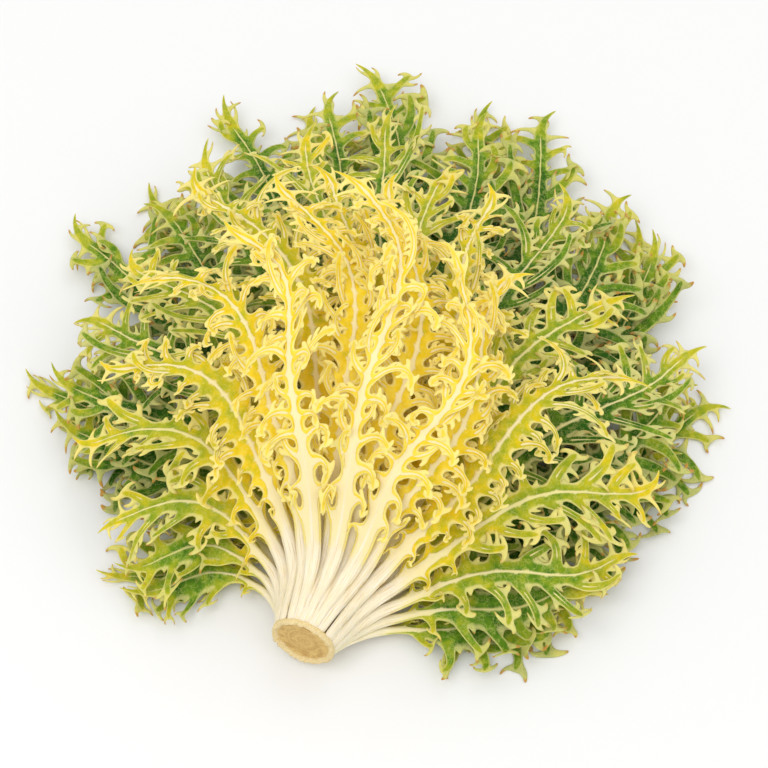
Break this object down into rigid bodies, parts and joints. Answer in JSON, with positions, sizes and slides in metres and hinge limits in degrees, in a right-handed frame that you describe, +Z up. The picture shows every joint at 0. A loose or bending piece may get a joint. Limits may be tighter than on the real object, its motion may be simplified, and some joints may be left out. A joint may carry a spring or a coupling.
{
  "type": "curly endive head",
  "caption": "Loose head of curly endive lying on a table: frilly cut leaves fan out from a cut stem, green outside and yellow at the heart.",
  "frame": {"origin": "centre of the head's bounding box in plan, on the surface that it lies on", "axes": "+Z up from the surface; +Y from the cut stem toward the farthest leaf tips; +X across the fan of leaves, to the right when looking along +Y from above"},
  "size_m": [0.3362, 0.3268, 0.1215],
  "materials": {
    "leaf_green": "fresh leaf, soft sheen, green with paler edges and cream rib",
    "leaf_lime": "fresh leaf, soft sheen, yellow-green with pale edges and cream rib",
    "leaf_yellow": "blanched leaf, soft sheen, yellow with cream rib",
    "stem": "dry cut stem tissue, matte tan with a pale rim"
  },
  "bodies": {
    "root": {"cut_stem": "stem", "ground_leaf_1": "leaf_green", "ground_leaf_2": "leaf_green", "ground_leaf_3": "leaf_green", "ground_leaf_4": "leaf_green", "ground_leaf_5": "leaf_green", "ground_leaf_6": "leaf_green", "ground_leaf_7": "leaf_green", "ground_leaf_8": "leaf_green", "skirt_leaf_1": "leaf_green", "skirt_leaf_2": "leaf_green", "skirt_leaf_3": "leaf_green", "skirt_leaf_4": "leaf_green", "skirt_leaf_5": "leaf_green", "skirt_leaf_6": "leaf_green", "skirt_leaf_7": "leaf_green", "skirt_leaf_8": "leaf_green", "skirt_leaf_9": "leaf_green", "outer_leaf_1": "leaf_green", "outer_leaf_2": "leaf_green", "outer_leaf_3": "leaf_green", "outer_leaf_4": "leaf_green", "outer_leaf_5": "leaf_green", "outer_leaf_6": "leaf_green", "outer_leaf_7": "leaf_green", "outer_leaf_8": "leaf_green", "middle_leaf_1": "leaf_lime", "middle_leaf_2": "leaf_lime", "middle_leaf_3": "leaf_lime", "middle_leaf_4": "leaf_lime", "middle_leaf_5": "leaf_lime", "middle_leaf_6": "leaf_lime", "middle_leaf_7": "leaf_lime", "upper_leaf_1": "leaf_lime", "upper_leaf_2": "leaf_lime", "upper_leaf_3": "leaf_lime", "upper_leaf_4": "leaf_lime", "upper_leaf_5": "leaf_lime", "upper_leaf_6": "leaf_lime", "inner_leaf_1": "leaf_yellow", "inner_leaf_2": "leaf_yellow", "inner_leaf_3": "leaf_yellow", "inner_leaf_4": "leaf_yellow", "inner_leaf_5": "leaf_yellow", "heart_leaf_1": "leaf_yellow", "heart_leaf_2": "leaf_yellow", "heart_leaf_3": "leaf_yellow", "heart_leaf_4": "leaf_yellow", "crest_leaf_1": "leaf_yellow", "crest_leaf_2": "leaf_yellow", "crest_leaf_3": "leaf_yellow"}
  },
  "joints": []
}
